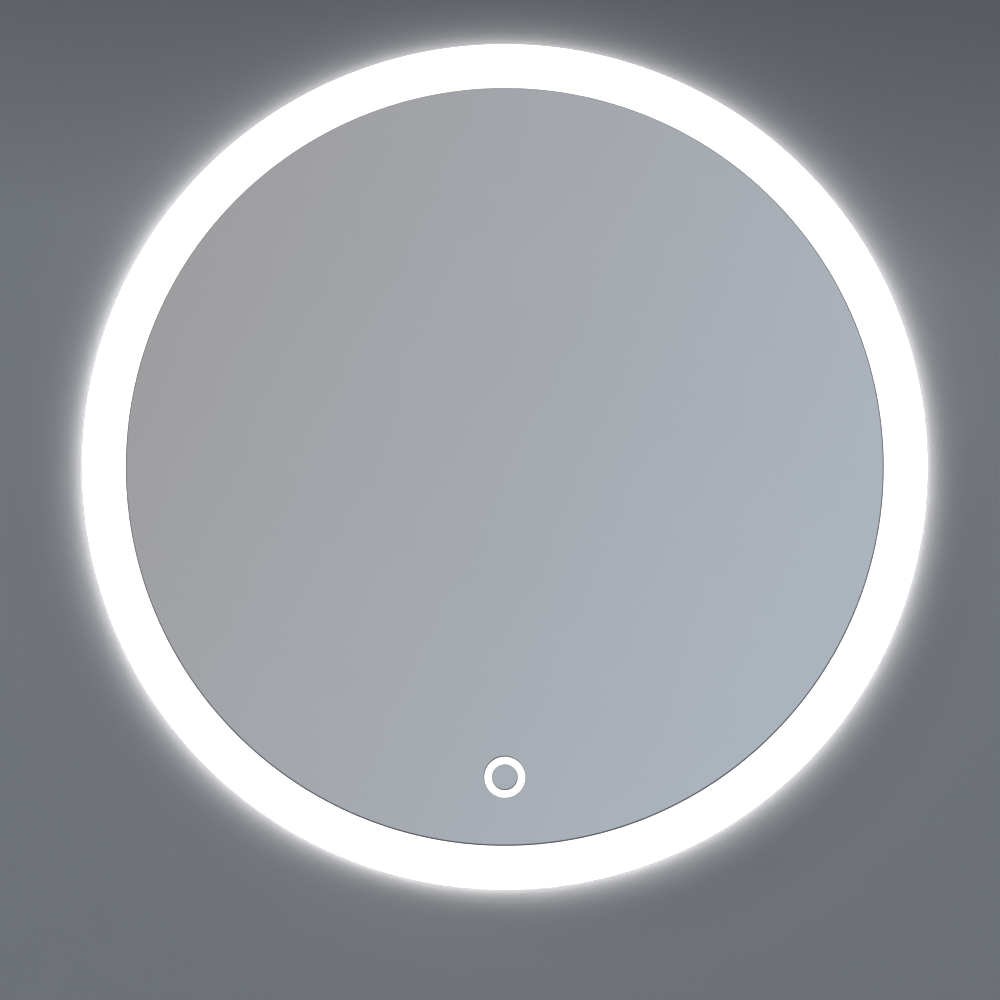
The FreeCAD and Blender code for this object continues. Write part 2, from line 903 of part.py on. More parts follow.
def driver_capacitors():
    cans = []
    for number in range(capacitor_count):
        x = capacitor_start + capacitor_pitch * number
        can = bar_y(capacitor_radius, board_front - capacitor_depth, board_front, x, driver_centre_z)
        top = [edge for edge in can.Edges if abs(edge.CenterOfMass.y - board_front + capacitor_depth) < 1e-6]
        cans.append(can.makeFillet(capacitor_rim, top))
    return cans


def driver_screws():
    screws = []
    seat = driver_back - driver_wall
    for side in (-1, 1):
        x = side * driver_screw_x()
        head = bar_y(screw_head_radius, seat - screw_head_height, seat, x, driver_centre_z)
        shank = bar_y(screw_shank_radius, seat, panel_back, x, driver_centre_z)
        screws.append(head.fuse(shank))
    return screws


def box_screw_places():
    x = box_width / 2 + box_flange / 2
    z = box_height / 2 - box_flange / 2
    return [(side * x, box_centre_z + rise * z) for side in (-1, 1) for rise in (-1, 1)]


def wiring_box():
    outer = rounded_plate(box_width, box_height, box_corner, box_floor_front, flange_back, 0, box_centre_z)
    room = plate(box_width - 2 * box_wall, box_height - 2 * box_wall, box_floor_back, flange_back,
                 0, box_centre_z)
    flange = rounded_plate(box_width + 2 * box_flange, box_height + 2 * box_flange, box_corner + box_flange,
                           panel_back, flange_back, 0, box_centre_z)
    entry = plate(box_width - 2 * box_wall, entry_plate_height - box_wall,
                  flange_back - entry_plate_thickness, flange_back, 0,
                  box_bottom + box_wall + (entry_plate_height - box_wall) / 2)
    shape = outer.fuse(flange).cut(room).fuse(entry)
    shape = shape.fuse(hinge_knuckles())
    cuts = [
        bar_y(grommet_neck_radius + seat_gap, box_floor_back, flange_back + past, grommet_x, grommet_z),
        bar_z(mains_lead_radius + lead_hole_gap, mouth_top - past, box_top + past, mains_exit_x, lead_row_y),
        bar_z(low_lead_radius + lead_hole_gap, mouth_top - past, box_top + past, earth_x, lead_row_y),
        bar_x(pad_lead_radius + lead_hole_gap, -box_width / 2 - past, past - mouth_half_width,
              lead_row_y, lead_row_z),
        bar_x(pin_radius + seat_gap, -box_width / 2, box_width / 2, hinge_y, hinge_z),
    ]
    for x, z in box_screw_places():
        cuts.append(bar_y(screw_shank_radius + thread_gap, panel_back - past, flange_back + past, x, z))
    return [shape.cut(cuts)]


def hinge_knuckles():
    knuckles = []
    for side in (-1, 1):
        near = centre_knuckle_length / 2 + knuckle_gap
        ends = sorted((side * near, side * (near + knuckle_length)))
        knuckles.append(bar_x(knuckle_radius, ends[0], ends[1], hinge_y, hinge_z))
        knuckles.append(block(ends[0], ends[1], flange_back, hinge_y, hinge_z - knuckle_radius,
                              hinge_z + knuckle_radius))
    return knuckles


def lid_hinge_pin():
    reach = centre_knuckle_length / 2 + knuckle_gap + knuckle_length
    head_start = reach + seat_gap
    pin = bar_x(pin_radius, -reach, head_start, hinge_y, hinge_z)
    head = bar_x(pin_head_radius, head_start, head_start + pin_head_length, hinge_y, hinge_z)
    return [pin.fuse(head)]


def lid_edges():
    # half width, lower edge, upper edge
    spread = gasket_width + lid_rim
    return mouth_half_width + spread, mouth_bottom - spread, mouth_top + spread


def lid_gasket():
    half = mouth_half_width + gasket_width
    outer = block(-half, half, flange_back, flange_back + gasket_thickness,
                  mouth_bottom - gasket_width, mouth_top + gasket_width)
    inner = block(-half + gasket_width, half - gasket_width, flange_back, flange_back + gasket_thickness,
                  mouth_bottom, mouth_top)
    return [outer.cut(inner)]


def wiring_box_lid():
    half, low, high = lid_edges()
    back = lid_front + lid_thickness
    shape = block(-half, half, lid_front, back, low, high)
    corners = [edge for edge in long_edges(shape, to_wall) if edge.CenterOfMass.z < (low + high) / 2]
    shape = shape.makeFillet(box_corner, corners)
    tab = block(-lid_tab_width / 2, lid_tab_width / 2, lid_front, back, low - lid_tab_height, low)
    arm_half = centre_knuckle_length / 2
    arm = block(-arm_half, arm_half, lid_front, back, high, hinge_z)
    knuckle = bar_x(knuckle_radius, -arm_half, arm_half, hinge_y, hinge_z)
    ribs = []
    rib_pitch = 2 * half / (lid_rib_count + 1)
    for number in range(lid_rib_count):
        x = -half + rib_pitch * (number + 1)
        ribs.append(slot(high - low - 2 * lid_rib_margin, lid_rib_radius, back, back + lid_rib_height,
                         x, (low + high) / 2, up))
    shape = shape.fuse([tab, arm, knuckle] + ribs)
    bore = bar_x(pin_radius + hinge_running_gap, -arm_half - past, arm_half + past, hinge_y, hinge_z)
    return [shape.cut(bore)]


def box_screws():
    return [pan_screw(x, z, flange_back, box_flange_thickness + panel_thickness + screw_reach)
            for x, z in box_screw_places()]


def cable_grommet():
    entry_front = flange_back - entry_plate_thickness
    neck = bar_y(grommet_neck_radius, entry_front, flange_back, grommet_x, grommet_z)
    inside = bar_y(grommet_flange_radius, entry_front - grommet_flange_thickness, entry_front,
                   grommet_x, grommet_z)
    outside = bar_y(grommet_flange_radius, flange_back, flange_back + grommet_flange_thickness,
                    grommet_x, grommet_z)
    shape = neck.fuse([inside, outside])
    rims = [edge for edge in round_edges(shape, grommet_flange_radius)
            if abs(edge.CenterOfMass.y - flange_back - grommet_flange_thickness) < 1e-6]
    shape = shape.makeFillet(grommet_lip_round, rims)
    return [shape.cut(bar_y(cable_bore_radius, entry_front - grommet_flange_thickness - past,
                            flange_back + grommet_flange_thickness + past, grommet_x, grommet_z))]


def pole_places():
    first = -pole_width * (pole_count - 1) / 2
    return [first + pole_width * number for number in range(pole_count)]


def terminal_block():
    shape = block(-block_half_width, block_half_width, box_floor_back, block_back, block_bottom, block_top)
    cuts = []
    for x in pole_places():
        half = notch_width / 2
        cuts.append(block(x - half, x + half, block_back - notch_depth, block_back, block_bottom, block_top))
        half = wire_pocket / 2
        cuts.append(block(x - half, x + half, lead_row_y - wire_pocket, lead_row_y,
                          block_bottom, block_bottom + wire_pocket_depth))
    cuts.append(bar_x(lever_axle_radius + seat_gap, -block_half_width, block_half_width, axle_y, axle_z))
    return [shape.cut(cuts)]


def terminal_contacts():
    bars = []
    half = wire_pocket / 2
    for x in pole_places():
        bars.append(block(x - half, x + half, lead_row_y - wire_pocket,
                          lead_row_y - wire_pocket + contact_thickness,
                          block_bottom + contact_inset, block_bottom + wire_pocket_depth))
    return bars


def lever_axle():
    return [bar_x(lever_axle_radius, -block_half_width, block_half_width, axle_y, axle_z)]


def clamp_lever(x):
    half = lever_width / 2
    eye = bar_x(lever_eye_radius, x - half, x + half, axle_y, axle_z)
    blade = block(x - half, x + half, axle_y - lever_thickness / 2, axle_y + lever_thickness / 2,
                  axle_z - lever_length, axle_z)
    tip = [edge for edge in long_edges(blade, right) if edge.CenterOfMass.z < axle_z - lever_length + 1e-6]
    blade = blade.makeFillet(lever_tip_round, tip)
    bore = bar_x(lever_axle_radius + axle_running_gap, x - half - past, x + half + past, axle_y, axle_z)
    return [blade.fuse(eye).cut(bore)]


def live_lever():
    return clamp_lever(pole_places()[0])


def neutral_lever():
    return clamp_lever(pole_places()[1])


def earth_lever():
    return clamp_lever(pole_places()[-1])


def earth_stud():
    return [bar_y(stud_radius, panel_front - stud_length, panel_back, earth_x, earth_z)]


def earth_nut():
    corners = []
    for angle in around(6, 30.0):
        x, z = on_circle(nut_across_flats / math.sqrt(3), angle)
        corners.append(point(earth_x + x, panel_front - tag_thickness - nut_height, earth_z + z))
    nut = Part.Face(Part.makePolygon(corners + corners[:1])).extrude(to_wall * nut_height)
    hole = bar_y(stud_radius + thread_gap, panel_front - stud_length, panel_front, earth_x, earth_z)
    return [nut.cut(hole)]


def barrel_end():
    return earth_z - tag_radius - barrel_length


def earth_tag():
    front = panel_front - tag_thickness
    eye = bar_y(tag_radius, front, panel_front, earth_x, earth_z)
    neck = plate(barrel_radius * 2, tag_radius, front, panel_front, earth_x, earth_z - tag_radius)
    barrel = bar_z(barrel_radius, barrel_end(), earth_z - tag_radius - barrel_start, earth_x,
                   panel_front - barrel_radius)
    hole = bar_y(stud_radius + thread_gap, front - past, panel_front + past, earth_x, earth_z)
    return [eye.fuse([neck, barrel]).cut(hole)]


def lead_y(radius):
    # a lead that lies on the clips' bases
    return panel_front - lead_lift - radius


def mains_link_lead():
    y = lead_y(mains_lead_radius)
    far = -driver_end - mains_loop
    turn_z = (box_top + driver_centre_z - driver_height / 2) / 2
    stops = [
        (mains_exit_x, lead_row_y, block_top),
        (mains_exit_x, lead_row_y, box_top + mains_rise),
        (mains_exit_x - mains_lean, y, turn_z),
        (-driver_end, y, turn_z),
        (far, y, driver_centre_z - driver_height / 2 + mains_turn_inset),
        (far, y, driver_centre_z + driver_entry_offset),
        (-driver_end, y, driver_centre_z + driver_entry_offset),
    ]
    return [lead("mains_link_lead", stops, mains_lead_radius)]


def led_lead():
    y = lead_y(low_lead_radius)
    z = driver_centre_z + driver_entry_offset
    stops = [
        (driver_end, y, z),
        (driver_end + led_first_run, y, z),
        (web_inner - led_last_run - led_slope_run, y, led_slope_z),
        (web_inner - led_last_run, strip_y, 0),
        (web_outer - led_end_gap, strip_y, 0),
    ]
    return [lead("led_lead", stops, low_lead_radius)]


def touch_lead():
    y = lead_y(low_lead_radius)
    side = touch_lead_x
    entry_z = driver_centre_z - driver_entry_offset
    stops = [
        (connector_end, touch_lead_y, icon_z),
        (touch_cup_radius + touch_first_run, touch_lead_y, icon_z),
        (side, y, icon_z + touch_first_rise),
        (side, y, box_top),
        (driver_end + touch_bow_near, y, entry_z - touch_bow_start),
        (driver_end + touch_bow_far, y, entry_z - touch_bow_middle),
        (driver_end + touch_bow_near, y, entry_z),
        (driver_end, y, entry_z),
    ]
    return [lead("touch_lead", stops, low_lead_radius)]


def demister_lead():
    pad_y = coat_back + pad_thickness + pad_terminal_depth / 2
    stops = [
        (-block_half_width, lead_row_y, lead_row_z),
        (-box_width / 2 - pad_first_run, lead_row_y, lead_row_z),
        (pad_terminal_x + pad_terminal_width / 2 + pad_last_run, pad_y, lead_row_z),
        (pad_terminal_x + pad_terminal_width / 2, pad_y, lead_row_z),
    ]
    return [lead("demister_lead", stops, pad_lead_radius)]


def earth_lead():
    stops = [
        (earth_x, lead_row_y, block_top),
        (earth_x, lead_row_y, box_top + earth_rise),
        (earth_x, panel_front - barrel_radius, barrel_end() - earth_last_run),
        (earth_x, panel_front - barrel_radius, barrel_end()),
    ]
    return [lead("earth_lead", stops, low_lead_radius)]


def cable_clips():
    clips = []
    y = lead_y(low_lead_radius)
    front = y - low_lead_radius - clip_wall
    first = icon_z + clip_start
    pitch = (box_top - first) / (clip_count + 1)
    for number in range(clip_count):
        z = first + pitch * (number + 1)
        saddle = plate(clip_width, clip_height, front, panel_front, touch_lead_x, z)
        clips.append(saddle.cut(bar_z(low_lead_radius + seat_gap, z - clip_height, z + clip_height,
                                      touch_lead_x, y)))
    return clips


def save(name, solids):
    shape = Part.makeCompound(solids) if len(solids) > 1 else solids[0]
    shape = shape.copy()
    shape.translate(point(0, 0, -fixing_height))
    shape.exportStep("parts/" + name + ".step")


glass_pieces = (mirror_glass, silver_coat, frosted_band, touch_icon, bond_tape)
light_pieces = (diffuser_ring, diffuser_seal, rim_band, led_strip, led_chips, led_lead, lead_grommet)
casing_pieces = (chassis_hoop, hoop_joiner, joiner_rivets, back_panel, panel_screws, bumper_feet)
hanging_pieces = (wall_bracket, hanger_rail, hanger_rivets)
touch_pieces = (touch_case, touch_board, touch_leds, touch_light_guide, touch_sense_pad, touch_connector,
                touch_lead)
demister_pieces = (demister_pad, demister_terminal, demister_lead)
driver_pieces = (driver_case, driver_cover, driver_board, driver_transformer, driver_capacitors,
                 driver_screws)
wiring_pieces = (wiring_box, wiring_box_lid, lid_hinge_pin, lid_gasket, box_screws, cable_grommet,
                 terminal_block, terminal_contacts, lever_axle, live_lever, neutral_lever, earth_lever,
                 mains_link_lead, earth_stud, earth_nut, earth_tag, earth_lead, cable_clips)

os.makedirs("parts", exist_ok=True)
for group in (glass_pieces, light_pieces, casing_pieces, hanging_pieces, touch_pieces, demister_pieces,
              driver_pieces, wiring_pieces):
    for make in group:
        save(make.__name__, make())
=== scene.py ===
import json
import math

import bmesh
import bpy
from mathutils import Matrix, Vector


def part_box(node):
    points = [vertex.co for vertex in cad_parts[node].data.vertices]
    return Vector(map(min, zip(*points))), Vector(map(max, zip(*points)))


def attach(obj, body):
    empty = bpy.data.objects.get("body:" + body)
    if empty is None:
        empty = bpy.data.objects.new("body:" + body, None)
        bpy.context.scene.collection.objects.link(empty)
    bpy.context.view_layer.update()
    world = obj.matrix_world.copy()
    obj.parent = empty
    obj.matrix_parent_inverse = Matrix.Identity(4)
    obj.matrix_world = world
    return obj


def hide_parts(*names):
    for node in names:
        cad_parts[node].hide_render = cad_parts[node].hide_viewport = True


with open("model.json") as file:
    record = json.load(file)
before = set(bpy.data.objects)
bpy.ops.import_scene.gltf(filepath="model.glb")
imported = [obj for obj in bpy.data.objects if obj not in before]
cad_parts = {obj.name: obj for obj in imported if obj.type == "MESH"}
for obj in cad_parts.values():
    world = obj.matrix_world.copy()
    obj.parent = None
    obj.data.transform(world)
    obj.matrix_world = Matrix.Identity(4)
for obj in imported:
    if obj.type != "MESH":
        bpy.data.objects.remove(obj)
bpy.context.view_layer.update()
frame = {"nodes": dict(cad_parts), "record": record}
cadNodes = frame["nodes"]
print("packed model loaded:", len(cadNodes), "nodes")

mm = 0.001
glassLow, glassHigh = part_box("mirror_glass")
mirrorX = (glassLow.x + glassHigh.x) / 2
mirrorZ = (glassLow.z + glassHigh.z) / 2  # the mirror's own centre; the frame's origin is at the wall slots
glassFront, glassBack = glassLow.y, glassHigh.y
iconLow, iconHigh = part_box("touch_icon")
iconX = (iconLow.x + iconHigh.x) / 2
iconZ = (iconLow.z + iconHigh.z) / 2


# camera: straight on, a little below and left of the mirror's centre, as the picture is framed
cameraSet = {
    "frameWidth": 710 * mm,  # how wide the picture is at the front of the glass
    "distance": 4.0,
    "left": 3.4 * mm,
    "below": 23.5 * mm,
    "sensorWidth": 36,  # in mm, as the lens is
}

cameraData = bpy.data.cameras.new("frontCamera")
camera = bpy.data.objects.new("frontCamera", cameraData)
bpy.context.scene.collection.objects.link(camera)
cameraData.sensor_width = cameraSet["sensorWidth"]
cameraData.lens = cameraSet["sensorWidth"] * cameraSet["distance"] / cameraSet["frameWidth"]
camera.location = (mirrorX - cameraSet["left"], glassFront - cameraSet["distance"],
                   mirrorZ - cameraSet["below"])
camera.rotation_euler = (math.radians(90), 0, 0)  # level, looking along +Y
bpy.context.scene.camera = camera
print("camera set")


# finishes: every one is built from nodes, in the part's own metres
grainSet = {
    "detail": 4.0,  # in blotches of tone
    "fineDetail": 2.0,  # in the fine grain of a surface
    "hoopDetail": 3.0,
    "roughness": 0.55,
    "low": 0.35,  # the noise seldom leaves this span
    "high": 0.65,
}


def startFinish(name):
    finish = bpy.data.materials.new(name)
    finish.use_nodes = True
    tree = finish.node_tree
    return finish, tree, tree.nodes["Principled BSDF"]


def calculated(tree, kind, operation, *sources):
    # kind is Math or VectorMath; each source is a plain value, or another node's output
    node = tree.nodes.new("ShaderNode" + kind)
    node.operation = operation
    for socket, source in zip(node.inputs, sources):
        if isinstance(source, bpy.types.NodeSocket):
            tree.links.new(source, socket)
        else:
            socket.default_value = source
    return node.outputs["Value"]


def noiseOf(tree, scaled, detail):
    noise = tree.nodes.new("ShaderNodeTexNoise")
    noise.inputs["Scale"].default_value = 1.0
    noise.inputs["Detail"].default_value = detail
    tree.links.new(scaled.outputs["Vector"], noise.inputs["Vector"])
    return noise


def grain(tree, size, stretch=(1, 1, 1), detail=grainSet["detail"]):
    # noise whose grains are about size metres across; stretch draws them out along an axis
    place = tree.nodes.new("ShaderNodeTexCoord")
    scaled = tree.nodes.new("ShaderNodeMapping")
    scaled.inputs["Scale"].default_value = [1 / (size * s) for s in stretch]
    tree.links.new(place.outputs["Object"], scaled.inputs["Vector"])
    noise = noiseOf(tree, scaled, detail)
    noise.inputs["Roughness"].default_value = grainSet["roughness"]
    return noise.outputs["Fac"]


def hoopGrain(tree, size, drawn):
    # grain drawn out round the mirror's own axis, as rolling and turning leave it
    place = tree.nodes.new("ShaderNodeTexCoord")
    split = tree.nodes.new("ShaderNodeSeparateXYZ")
    tree.links.new(place.outputs["Object"], split.inputs["Vector"])
    height = calculated(tree, "Math", "SUBTRACT", split.outputs["Z"], mirrorZ)  # above the mirror's centre
    angle = calculated(tree, "Math", "ARCTAN2", height, split.outputs["X"])
    joined = tree.nodes.new("ShaderNodeCombineXYZ")
    tree.links.new(height, joined.inputs["X"])
    tree.links.new(split.outputs["X"], joined.inputs["Y"])
    reach = calculated(tree, "VectorMath", "LENGTH", joined.outputs[0])
    rolled = tree.nodes.new("ShaderNodeCombineXYZ")
    tree.links.new(reach, rolled.inputs["X"])
    tree.links.new(split.outputs["Y"], rolled.inputs["Y"])
    tree.links.new(angle, rolled.inputs["Z"])
    scaled = tree.nodes.new("ShaderNodeMapping")
    scaled.inputs["Scale"].default_value = (1 / size, 1 / size, 1 / drawn)
    tree.links.new(rolled.outputs[0], scaled.inputs["Vector"])
    return noiseOf(tree, scaled, grainSet["hoopDetail"]).outputs["Fac"]


def between(tree, factor, low, high, start=grainSet["low"], end=grainSet["high"]):
    # a value that goes from low to high as the factor goes from start to end
    span = tree.nodes.new("ShaderNodeMapRange")
    span.inputs["From Min"].default_value = start
    span.inputs["From Max"].default_value = end
    span.inputs["To Min"].default_value = low
    span.inputs["To Max"].default_value = high
    tree.links.new(factor, span.inputs["Value"])
    return span.outputs["Result"]


def shades(tree, factor, first, second, start=grainSet["low"], end=grainSet["high"]):
    # a colour that goes from first to second as the factor goes from start to end
    ramp = tree.nodes.new("ShaderNodeValToRGB")
    ramp.color_ramp.elements[0].position = start
    ramp.color_ramp.elements[0].color = (*first, 1)
    ramp.color_ramp.elements[1].position = end
    ramp.color_ramp.elements[1].color = (*second, 1)
    tree.links.new(factor, ramp.inputs["Fac"])
    return ramp.outputs["Color"]


def mixColours(tree, factor, first, second):
    # first and second are each a colour, or another node's output
    mix = tree.nodes.new("ShaderNodeMix")
    mix.data_type = "RGBA"
    tree.links.new(factor, mix.inputs["Factor"])
    for socket, source in (("A", first), ("B", second)):
        if isinstance(source, bpy.types.NodeSocket):
            tree.links.new(source, mix.inputs[socket])
        else:
            mix.inputs[socket].default_value = (*source, 1)
    return mix.outputs["Result"]


def mixShaders(tree, factor, first, second):
    mix = tree.nodes.new("ShaderNodeMixShader")
    tree.links.new(factor, mix.inputs["Fac"])
    tree.links.new(first.outputs[0], mix.inputs[1])
    tree.links.new(second.outputs[0], mix.inputs[2])
    tree.links.new(mix.outputs[0], tree.nodes["Material Output"].inputs["Surface"])


def raiseBy(tree, shader, height, depth, strength):
    bump = tree.nodes.new("ShaderNodeBump")
    bump.inputs["Strength"].default_value = strength
    bump.inputs["Distance"].default_value = depth
    tree.links.new(height, bump.inputs["Height"])
    tree.links.new(bump.outputs["Normal"], shader.inputs["Normal"])


wornSet = {
    "width": 0.8 * mm,
    "samples": 4,
    "most": 0.75,  # how much of the finish is gone at a sharp edge
    "sharp": 0.88,  # how far the softened surface turns at an edge, as a cosine
    "flat": 0.985,
    "patch": 5 * mm,
    "patchLeast": 0.25,
}


def wornEdges(tree, colour, bare):
    # along sharp edges the finish is rubbed thin, in patches
    softened = tree.nodes.new("ShaderNodeBevel")
    softened.samples = wornSet["samples"]
    softened.inputs["Radius"].default_value = wornSet["width"]
    surface = tree.nodes.new("ShaderNodeNewGeometry")
    turn = calculated(tree, "VectorMath", "DOT_PRODUCT",
                      softened.outputs["Normal"], surface.outputs["True Normal"])
    edge = between(tree, turn, wornSet["most"], 0.0, wornSet["sharp"], wornSet["flat"])
    patch = between(tree, grain(tree, wornSet["patch"]), wornSet["patchLeast"], 1.0)
    return mixColours(tree, calculated(tree, "Math", "MULTIPLY", edge, patch), colour, bare)


plainLook = {
    "spread": 0.06,  # how far the blotches go from the tone
    "blotch": 30 * mm,
    "stretch": (1, 1, 1),
    "depth": 0.05 * mm,
    "strength": 0.35,
    "metal": 0.0,
}


def solidFinish(name, look):
    # one paint, plastic, rubber or metal, with blotches of tone, a fine grain and an uneven sheen
    finish, tree, shader = startFinish(name)
    look = {**plainLook, **look}
    tone, spread = look["tone"], look["spread"]
    darker = [c * (1 - spread) for c in tone]
    lighter = look.get("second", [min(1.0, c * (1 + spread)) for c in tone])
    colour = shades(tree, grain(tree, look["blotch"], look["stretch"]), darker, lighter)
    if "worn" in look:
        colour = wornEdges(tree, colour, look["worn"])
    tree.links.new(colour, shader.inputs["Base Color"])
    if "rolled" in look:
        fine = hoopGrain(tree, look["grain"], look["rolled"])
    else:
        fine = grain(tree, look["grain"], look["stretch"], grainSet["fineDetail"])
    tree.links.new(between(tree, fine, *look["sheen"]), shader.inputs["Roughness"])
    raiseBy(tree, shader, fine, look["depth"], look["strength"])
    shader.inputs["Metallic"].default_value = look["metal"]
    return finish


litLook = {
    "second": (1, 1, 1),
    "depth": 0.02 * mm,
    "strength": 0.3,
}


def litFinish(name, look):
    # a surface that light comes out of
    finish, tree, shader = startFinish(name)
    look = {**litLook, **look}
    fine = grain(tree, look["grain"], detail=grainSet["fineDetail"])
    tree.links.new(shades(tree, fine, look["tone"], look["second"]), shader.inputs["Base Color"])
    tree.links.new(between(tree, fine, *look["sheen"]), shader.inputs["Roughness"])
    raiseBy(tree, shader, fine, look["depth"], look["strength"])
    shader.inputs["Emission Color"].default_value = (*look["light"], 1)
    shader.inputs["Emission Strength"].default_value = look["power"]
    return finish


def glassFinish(name, look):
    finish, tree, shader = startFinish(name)
    shader.inputs["Transmission Weight"].default_value = 1.0
    shader.inputs["IOR"].default_value = look["ior"]
    smear = grain(tree, look["grain"], detail=look["detail"])
    tree.links.new(shades(tree, smear, look["tint"], look["tintLight"]), shader.inputs["Base Color"])
    tree.links.new(between(tree, smear, 0.0, look["smear"]), shader.inputs["Roughness"])
    return finish


def stripedFinish(name, look):
    # two colours in bands along a sheath
    finish, tree, shader = startFinish(name)
    place = tree.nodes.new("ShaderNodeTexCoord")
    wave = tree.nodes.new("ShaderNodeTexWave")
    wave.wave_type = "BANDS"
    wave.bands_direction = "X"
    wave.inputs["Scale"].default_value = look["waveScale"]
    wave.inputs["Distortion"].default_value = look["waver"]
    tree.links.new(place.outputs["Object"], wave.inputs["Vector"])
    tree.links.new(shades(tree, wave.outputs["Fac"], look["tone"], look["stripe"], *look["stripeEdge"]),
                   shader.inputs["Base Color"])
    fine = grain(tree, look["grain"])
    tree.links.new(between(tree, fine, *look["sheen"]), shader.inputs["Roughness"])
    raiseBy(tree, shader, fine, look["depth"], look["strength"])
    return finish


# sheen is the roughness, from and to; grain and blotch are sizes; worn is the tone along sharp edges
finishLooks = {
    "hoop_aluminium": {"tone": (0.70, 0.71, 0.72), "metal": 1.0, "sheen": (0.30, 0.40), "grain": 0.3 * mm,
                       "rolled": 0.25,  # how far the grain is drawn round the hoop, in radians
                       "blotch": 90 * mm, "spread": 0.03, "depth": 0.01 * mm, "strength": 0.08},
    "panel_paint": {"tone": (0.52, 0.53, 0.545), "sheen": (0.42, 0.58), "grain": 0.9 * mm,
                    "blotch": 120 * mm, "spread": 0.035, "depth": 0.06 * mm, "strength": 0.5,
                    "worn": (0.38, 0.385, 0.39)},
    "zinc_steel": {"tone": (0.60, 0.63, 0.66), "second": (0.71, 0.69, 0.60), "metal": 1.0,
                   "sheen": (0.28, 0.42), "grain": 0.5 * mm, "stretch": (5, 1, 1), "blotch": 9 * mm,
                   "depth": 0.01 * mm, "strength": 0.08, "worn": (0.86, 0.87, 0.88)},
    "black_rubber": {"tone": (0.022, 0.022, 0.023), "sheen": (0.62, 0.80), "grain": 0.5 * mm,
                     "blotch": 12 * mm, "spread": 0.25, "depth": 0.04 * mm, "strength": 0.5},
    "foam_tape": {"tone": (0.80, 0.80, 0.77), "sheen": (0.8, 0.95), "grain": 0.4 * mm, "depth": 0.1 * mm,
                  "strength": 0.8},
    "strip_board": {"tone": (0.86, 0.86, 0.84), "sheen": (0.4, 0.5), "grain": 1.0 * mm},
    "switch_plastic": {"tone": (0.03, 0.03, 0.033), "sheen": (0.42, 0.55), "grain": 0.5 * mm},
    "circuit_board": {"tone": (0.012, 0.11, 0.035), "sheen": (0.25, 0.4), "grain": 0.9 * mm,
                      "blotch": 3 * mm, "spread": 0.3},
    "copper": {"tone": (0.72, 0.37, 0.22), "metal": 1.0, "sheen": (0.22, 0.38), "grain": 0.5 * mm,
               "blotch": 4 * mm, "spread": 0.12},
    "heater_foil": {"tone": (0.62, 0.61, 0.57), "sheen": (0.35, 0.5), "grain": 1.2 * mm},
    "box_plastic": {"tone": (0.70, 0.70, 0.685), "sheen": (0.44, 0.58), "grain": 0.45 * mm,
                    "blotch": 40 * mm, "spread": 0.03, "depth": 0.04 * mm, "strength": 0.45,
                    "worn": (0.80, 0.80, 0.785)},
    "driver_plastic": {"tone": (0.62, 0.63, 0.65), "sheen": (0.45, 0.6), "grain": 0.5 * mm},
    "ferrite": {"tone": (0.02, 0.02, 0.022), "sheen": (0.6, 0.75), "grain": 0.8 * mm},
    "capacitor_sleeve": {"tone": (0.02, 0.025, 0.06), "sheen": (0.22, 0.32), "grain": 1.0 * mm},
    "terminal_plastic": {"tone": (0.34, 0.36, 0.38), "sheen": (0.38, 0.5), "grain": 0.4 * mm},
    "live_brown": {"tone": (0.12, 0.035, 0.012), "sheen": (0.25, 0.36), "grain": 0.6 * mm},
    "neutral_blue": {"tone": (0.008, 0.05, 0.32), "sheen": (0.25, 0.36), "grain": 0.6 * mm},
    "earth_green": {"tone": (0.012, 0.2, 0.025), "sheen": (0.25, 0.36), "grain": 0.6 * mm},
    "white_sheath": {"tone": (0.78, 0.78, 0.76), "sheen": (0.42, 0.55), "grain": 0.6 * mm},
    "silver_mirror": {"tone": (0.93, 0.935, 0.94), "metal": 1.0, "sheen": (0.0, 0.012), "grain": 25 * mm,
                      "blotch": 80 * mm, "spread": 0.004, "depth": 0.001 * mm, "strength": 0.02},
}
litLooks = {  # power 1 is the white of the picture
    "frosted_glass": {"tone": (0.93, 0.94, 0.95), "light": (1.0, 1.0, 1.0), "power": 1.3, "grain": 0.3 * mm,
                      "sheen": (0.5, 0.7)},
    "opal_acrylic": {"tone": (0.9, 0.9, 0.89), "light": (1.0, 0.995, 0.98), "power": 1.15, "grain": 2 * mm,
                     "sheen": (0.28, 0.4)},
    "led_chip": {"tone": (0.9, 0.72, 0.3), "light": (1.0, 0.95, 0.85), "power": 1.0, "grain": 0.5 * mm,
                 "sheen": (0.3, 0.4)},
    "light_guide": {"tone": (0.9, 0.92, 0.94), "light": (1.0, 1.0, 1.0), "power": 1.0, "grain": 1.5 * mm,
                    "sheen": (0.1, 0.2)},
}
glassLook = {"ior": 1.52, "tint": (0.975, 0.99, 0.982), "tintLight": (0.98, 0.992, 0.986), "smear": 0.003,
             "grain": 60 * mm, "detail": 3.0}
sheathLook = {"tone": (0.02, 0.2, 0.03), "stripe": (0.75, 0.62, 0.03), "stripeEdge": (0.48, 0.52),
              "waveScale": 90,  # a stripe about every 3.5 mm
              "waver": 0.6, "sheen": (0.4, 0.55), "grain": 0.6 * mm, "depth": 0.02 * mm, "strength": 0.4}

finishes = {}
for slotName, look in finishLooks.items():
    finishes[slotName] = solidFinish(slotName, look)
for slotName, look in litLooks.items():
    finishes[slotName] = litFinish(slotName, look)
finishes["clear_glass"] = glassFinish("clear_glass", glassLook)
finishes["earth_sheath"] = stripedFinish("earth_sheath", sheathLook)
print("finishes made:", len(finishes))

for row in frame["record"]["subparts"]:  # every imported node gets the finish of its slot
    piece = cadNodes[row["node"]]
    piece.data.materials.clear()
    piece.data.materials.append(finishes[row["material_slot"]])
print("finishes given to the packed nodes")


